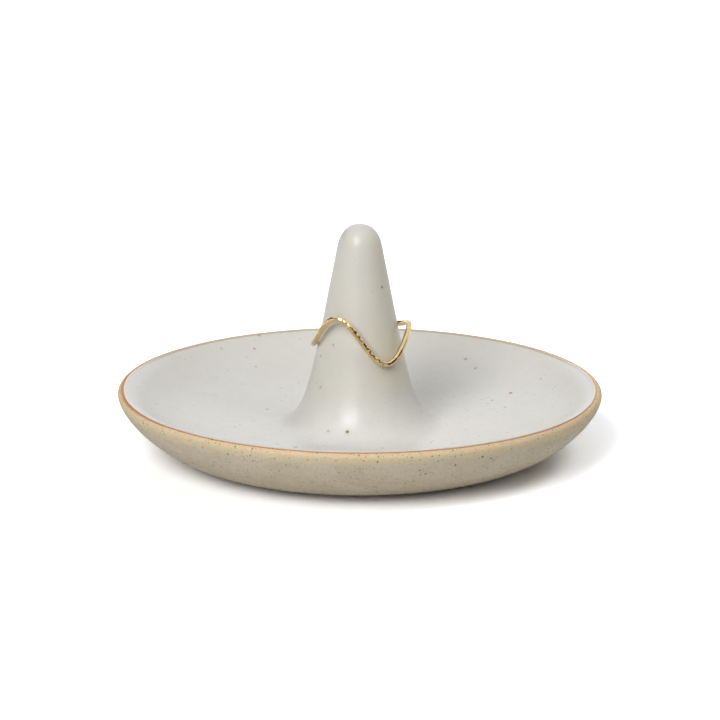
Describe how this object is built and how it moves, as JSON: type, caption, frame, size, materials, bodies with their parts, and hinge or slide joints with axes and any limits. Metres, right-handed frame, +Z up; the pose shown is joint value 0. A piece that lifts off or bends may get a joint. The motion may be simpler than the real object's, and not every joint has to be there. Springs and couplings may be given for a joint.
{
  "type": "ring dish",
  "caption": "Shallow round dish with a tapered cone in the middle that holds finger rings, and a thin wavy ring that lifts off the cone.",
  "frame": {"origin": "on the table, at the centre of the ring that the foot bears on", "axes": "+Z up along the cone, -Y towards the front of the picture, +X to the right of it"},
  "size_m": [0.1, 0.1, 0.0478],
  "materials": {
    "stoneware": "raw speckled buff stoneware, matt, warmer at the bare lip",
    "slip": "fired clay slip, matt",
    "glaze": "satin off-white glaze with iron specks",
    "gold": null
  },
  "bodies": {
    "dish": {"saucer": "stoneware", "luting_slip": "slip", "ring_cone": "stoneware", "glaze_coat": "glaze"},
    "ring": {"wave_ring": "gold"}
  },
  "joints": [
    {"name": "ring_lift", "type": "slide", "parent": "dish", "child": "ring", "axis": [0, 0, 1], "range_m": [0, 0.035]}
  ]
}
